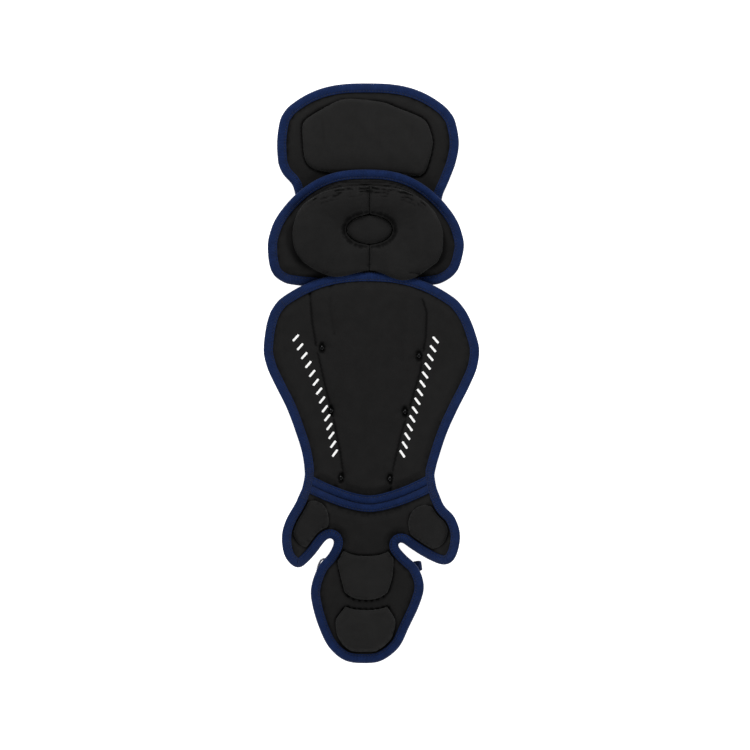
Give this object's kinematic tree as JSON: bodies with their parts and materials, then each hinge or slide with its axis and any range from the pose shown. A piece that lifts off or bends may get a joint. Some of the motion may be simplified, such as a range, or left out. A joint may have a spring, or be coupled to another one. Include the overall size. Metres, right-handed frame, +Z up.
{
  "type": "catcher leg guard",
  "caption": "Padded leg guard for a baseball catcher's left leg: thigh, knee, shin and foot pads with raised cushions, edge binding, hard shells underneath and an ankle ring.",
  "frame": {"origin": "middle of the guard's length and width, on the surface that it lies on", "axes": "+X to the right of the padded side, +Y from the toe to the thigh, +Z up out of the padded side"},
  "size_m": [0.2683, 0.726, 0.0885],
  "materials": {
    "pad_cloth": "matt black woven lining over foam",
    "binding_tape": "ribbed navy tape",
    "shell_plastic": "smooth navy moulded plastic",
    "fastener_steel": "plain steel"
  },
  "bodies": {
    "root": {"thigh_pad": "pad_cloth", "knee_pad": "pad_cloth", "shin_pad": "pad_cloth", "foot_pad": "pad_cloth", "thigh_cushion": "pad_cloth", "knee_cushion_left": "pad_cloth", "knee_cushion_right": "pad_cloth", "knee_button": "pad_cloth", "ankle_cushion_left": "pad_cloth", "ankle_cushion_right": "pad_cloth", "instep_cushion_upper": "pad_cloth", "instep_cushion_lower": "pad_cloth", "thigh_binding": "binding_tape", "knee_binding": "binding_tape", "shin_binding": "binding_tape", "foot_binding": "binding_tape", "ankle_tab_left": "binding_tape", "ankle_tab_right": "binding_tape", "thigh_shell": "shell_plastic", "knee_shell": "shell_plastic", "shin_shell": "shell_plastic", "foot_shell": "shell_plastic", "shin_rivet_1": "fastener_steel", "shin_rivet_2": "fastener_steel", "shin_rivet_3": "fastener_steel", "shin_rivet_4": "fastener_steel", "shin_rivet_5": "fastener_steel", "shin_rivet_6": "fastener_steel", "ankle_ring": "fastener_steel"}
  },
  "joints": []
}
